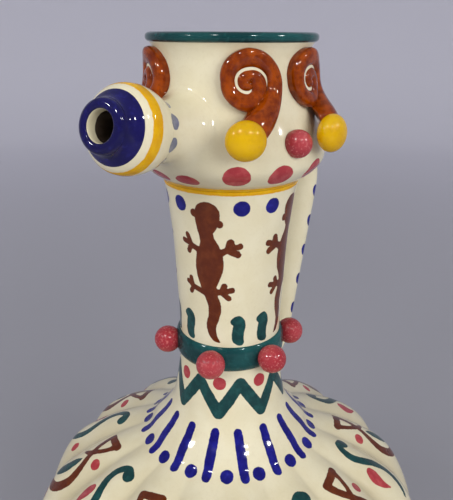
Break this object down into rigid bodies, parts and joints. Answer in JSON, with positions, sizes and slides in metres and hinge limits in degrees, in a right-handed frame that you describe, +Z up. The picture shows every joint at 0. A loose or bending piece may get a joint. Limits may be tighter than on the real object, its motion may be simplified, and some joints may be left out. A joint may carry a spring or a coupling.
{
  "type": "puzzle jug",
  "caption": "Tall glazed puzzle jug: round lobed body, narrow neck with a beaded collar, flared bowl with curled scrolls and hanging balls, a drinking nozzle and a hollow handle.",
  "frame": {"origin": "middle of the jug on the plane that the foot stands on", "axes": "+Z up along the axis of the jug, the drinking nozzle towards -Y and the handle towards +Y"},
  "size_m": [0.214, 0.214, 0.3618],
  "materials": {
    "cream": "glossy cream glaze over pale earthenware",
    "amber": "glossy amber brown glaze",
    "yellow": "glossy yellow glaze",
    "pink": "glossy mottled coral pink glaze",
    "green": "glossy dark green glaze",
    "cobalt": "glossy cobalt blue glaze"
  },
  "bodies": {
    "root": {"foot_ring": "cream", "body_lower": "cream", "body_upper": "cream", "neck": "cream", "collar_ring": "green", "collar_bead_1": "pink", "collar_bead_2": "pink", "collar_bead_3": "pink", "collar_bead_4": "pink", "collar_bead_5": "pink", "bowl": "cream", "rim_ring": "green", "gallery_liner": "cream", "siphon_tube": "cream", "handle": "cream", "nozzle_stem": "cream", "nozzle_bulb": "cream", "nozzle_tip": "cobalt", "scroll_1": "amber", "scroll_2": "amber", "scroll_3": "amber", "scroll_4": "amber", "ball_1": "yellow", "ball_2": "yellow", "ball_3": "yellow", "ball_4": "yellow", "stud_1": "pink", "stud_2": "pink", "stud_3": "pink", "stud_4": "pink"}
  },
  "joints": []
}
